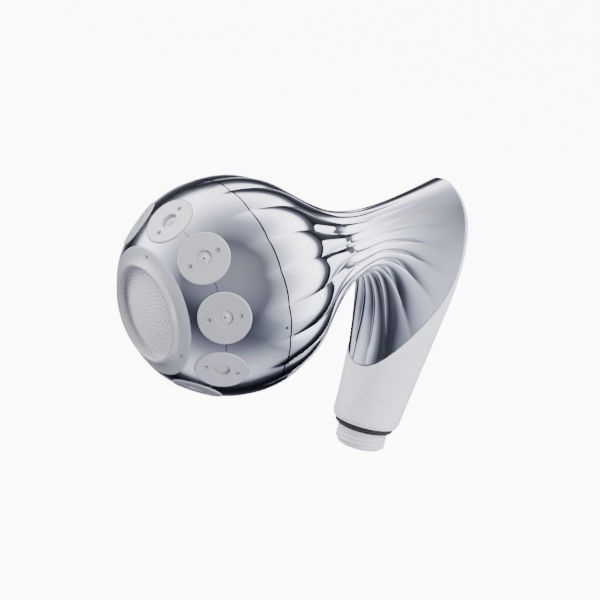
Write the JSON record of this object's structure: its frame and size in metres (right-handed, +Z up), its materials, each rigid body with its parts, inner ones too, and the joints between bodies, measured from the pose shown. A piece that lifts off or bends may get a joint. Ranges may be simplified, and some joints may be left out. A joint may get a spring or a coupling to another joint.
{
  "type": "handheld shower head",
  "caption": "Handheld shower head: fluted chrome ball with jet discs round a domed spray plate on a turning face, flared neck, white-backed stem with a hose thread.",
  "frame": {"origin": "middle of the hose thread's length, on the stem's axis", "axes": "+Z up the stem from the hose end, the spray face towards -Y tilted 20.2 degrees down, +X to the right seen from the front"},
  "size_m": [0.0836, 0.1475, 0.1146],
  "materials": {
    "chrome": "mirror chrome plating over plastic",
    "satin_chrome": "smooth bright chrome",
    "satin_grey": "satin grey plating",
    "nozzle_grey": "satin grey moulded tip",
    "spray_plate_white": "matt off-white",
    "gloss_white": "gloss white with a cool tint",
    "white_thread": "moulded white",
    "black_rubber": "black rubber",
    "steel": "stainless",
    "index_dark": "dark inlay",
    "grey_plastic": "acetal",
    "works_plastic": "natural ABS"
  },
  "bodies": {
    "handle": {"back_cover": "gloss_white", "bubble_core": "works_plastic", "bulkhead": "works_plastic", "bulkhead_screws": "steel", "core_seal": "black_rubber", "core_sleeve": "works_plastic", "detent_spring": "steel", "dome_seal": "black_rubber", "end_ring": "white_thread", "inlet_pipe": "works_plastic", "inlet_screen": "steel", "neck_bush": "grey_plastic", "pivot_bolt": "steel", "pivot_washer": "grey_plastic", "rear_shell": "chrome", "selector_plate": "works_plastic", "selector_seal": "black_rubber", "spigot_o_ring": "black_rubber", "thread_spigot": "white_thread"},
    "dial": {"distributor": "works_plastic", "face_dome": "satin_chrome", "flange_screws": "steel", "index_dot": "index_dark", "jet_disc_1": "satin_grey", "jet_disc_2": "satin_grey", "jet_disc_3": "satin_grey", "jet_disc_4": "satin_grey", "jet_disc_5": "satin_grey", "jet_disc_6": "satin_grey", "jet_disc_7": "satin_grey", "jet_disc_8": "satin_grey", "jet_disc_9": "satin_grey", "jet_manifold": "works_plastic", "jet_nozzle_1": "nozzle_grey", "jet_nozzle_2": "nozzle_grey", "jet_nozzle_3": "nozzle_grey", "jet_nozzle_4": "nozzle_grey", "jet_nozzle_5": "nozzle_grey", "jet_nozzle_6": "nozzle_grey", "jet_nozzle_7": "nozzle_grey", "jet_nozzle_8": "nozzle_grey", "jet_nozzle_9": "nozzle_grey", "jet_seals": "black_rubber", "manifold_gasket": "black_rubber", "outer_dome": "satin_chrome", "plate_gasket": "black_rubber", "spray_cup": "works_plastic", "spray_plate": "spray_plate_white", "spray_ring": "satin_grey"},
    "detent": {"detent_plunger": "steel"}
  },
  "joints": [
    {"name": "mode_dial", "type": "hinge", "parent": "handle", "child": "dial", "pos_m": [0, -0.088, 0.0604], "axis": [0, -0.9385, -0.3453], "range_deg": [0, 54]},
    {"name": "detent_slide", "type": "slide", "parent": "handle", "child": "detent", "axis": [0, 0.9385, 0.3453], "range_m": [0, 0.0009], "stiffness_N_per_m": 800, "springref_m": -0.0005}
  ]
}
